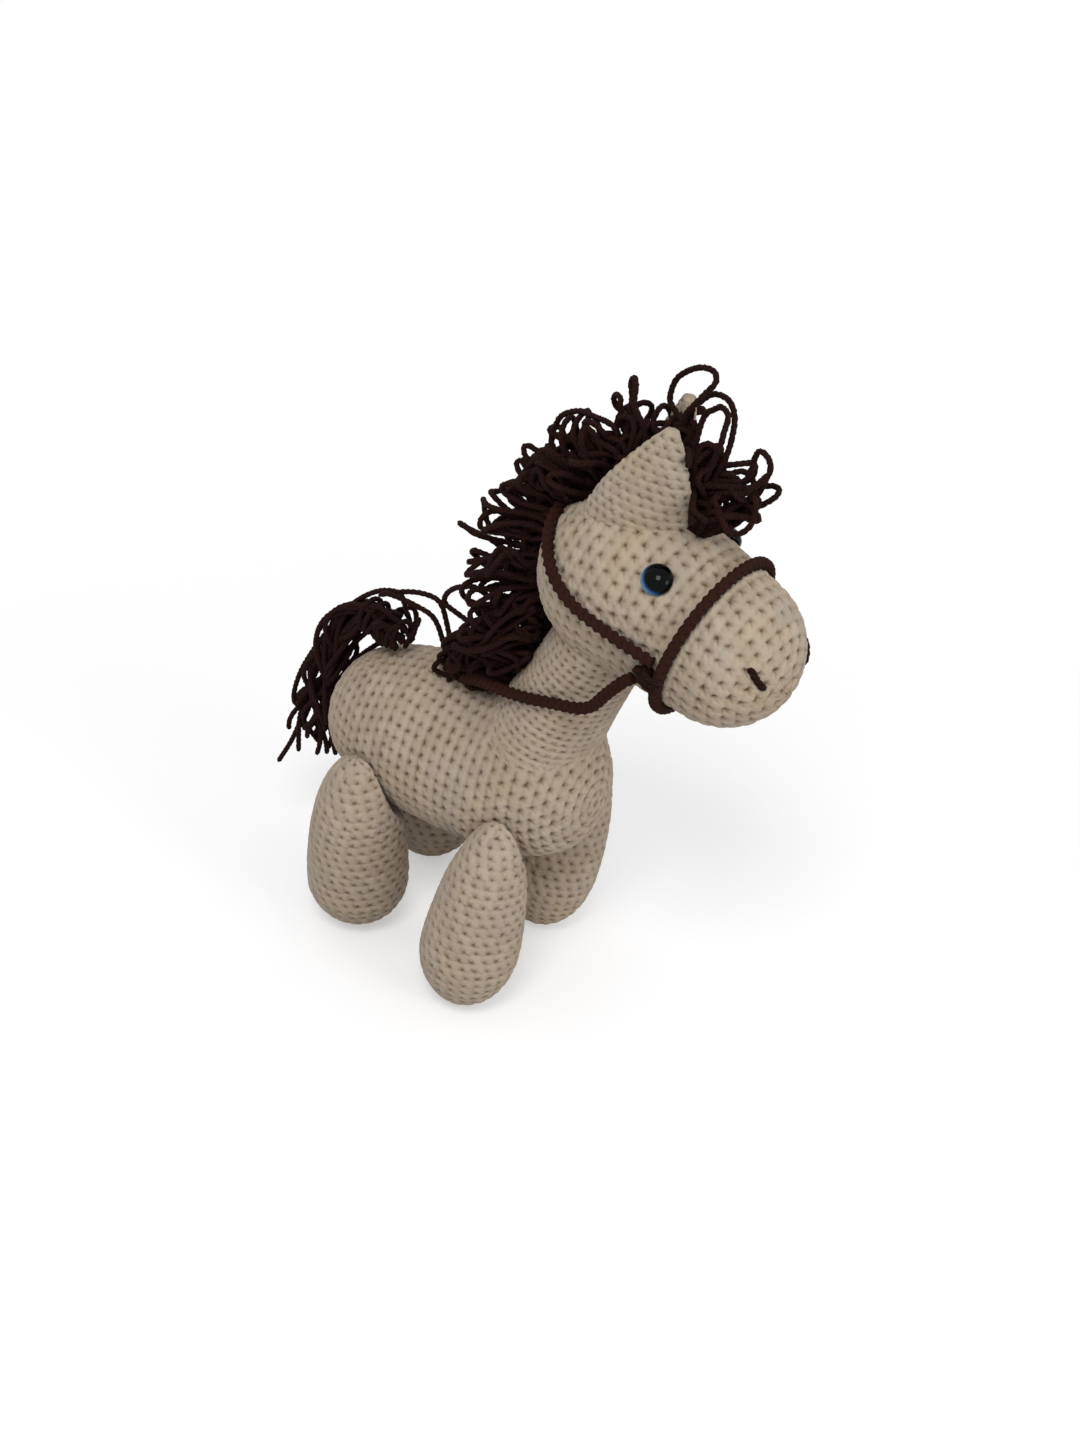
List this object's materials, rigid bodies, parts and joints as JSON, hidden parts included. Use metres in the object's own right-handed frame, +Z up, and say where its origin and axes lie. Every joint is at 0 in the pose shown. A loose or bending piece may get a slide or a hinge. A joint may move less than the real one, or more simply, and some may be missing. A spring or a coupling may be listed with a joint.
{
  "type": "crocheted plush horse",
  "caption": "Stuffed crochet toy horse that stands on its own, with thread-jointed swinging legs, a mane and tail of looped yarn, and a chain-stitch halter with a rein.",
  "frame": {"origin": "on the floor, under the middle of the whole horse's box", "axes": "+Z up; the horse faces -Y, and its right side is towards -X"},
  "size_m": [0.1147, 0.226, 0.274],
  "materials": {
    "cream_yarn": "matte",
    "brown_yarn": "matte",
    "filling": "matte",
    "eye_plastic": "gloss",
    "washer_plastic": "satin",
    "sewing_thread": "satin"
  },
  "bodies": {
    "horse": {"body_skin": "cream_yarn", "body_stuffing": "filling", "head_skin": "cream_yarn", "head_stuffing": "filling", "neck_skin": "cream_yarn", "neck_stuffing": "filling", "ear_right": "cream_yarn", "ear_left": "cream_yarn", "eye_right": "eye_plastic", "eye_left": "eye_plastic", "eye_right_washer": "washer_plastic", "eye_left_washer": "washer_plastic", "nostril_right": "brown_yarn", "nostril_left": "brown_yarn", "noseband": "brown_yarn", "headstall": "brown_yarn", "bridle_knot_right": "brown_yarn", "bridle_knot_left": "brown_yarn", "rein": "brown_yarn", "mane_forelock": "brown_yarn", "mane_crown": "brown_yarn", "mane_nape": "brown_yarn", "mane_withers": "brown_yarn", "front_leg_thread": "sewing_thread", "hind_leg_thread": "sewing_thread"},
    "leg_front_right": {"leg_front_right_skin": "cream_yarn", "leg_front_right_stuffing": "filling"},
    "leg_front_left": {"leg_front_left_skin": "cream_yarn", "leg_front_left_stuffing": "filling"},
    "leg_hind_right": {"leg_hind_right_skin": "cream_yarn", "leg_hind_right_stuffing": "filling"},
    "leg_hind_left": {"leg_hind_left_skin": "cream_yarn", "leg_hind_left_stuffing": "filling"},
    "tail": {"tail_yarn": "brown_yarn", "tail_tie": "brown_yarn"}
  },
  "joints": [
    {"name": "leg_front_right_swing", "type": "hinge", "parent": "horse", "child": "leg_front_right", "pos_m": [-0.03488, -0.009, 0.077], "axis": [-1, 0, 0], "range_deg": [-10, 45]},
    {"name": "leg_front_left_swing", "type": "hinge", "parent": "horse", "child": "leg_front_left", "pos_m": [0.03488, -0.009, 0.077], "axis": [-1, 0, 0], "range_deg": [-10, 45]},
    {"name": "leg_hind_right_swing", "type": "hinge", "parent": "horse", "child": "leg_hind_right", "pos_m": [-0.03351, 0.06, 0.077], "axis": [-1, 0, 0], "range_deg": [-45, 10]},
    {"name": "leg_hind_left_swing", "type": "hinge", "parent": "horse", "child": "leg_hind_left", "pos_m": [0.03351, 0.06, 0.077], "axis": [-1, 0, 0], "range_deg": [-45, 10]},
    {"name": "tail_lift", "type": "hinge", "parent": "horse", "child": "tail", "pos_m": [0, 0.06465, 0.12704], "axis": [1, 0, 0], "range_deg": [0, 60]}
  ]
}
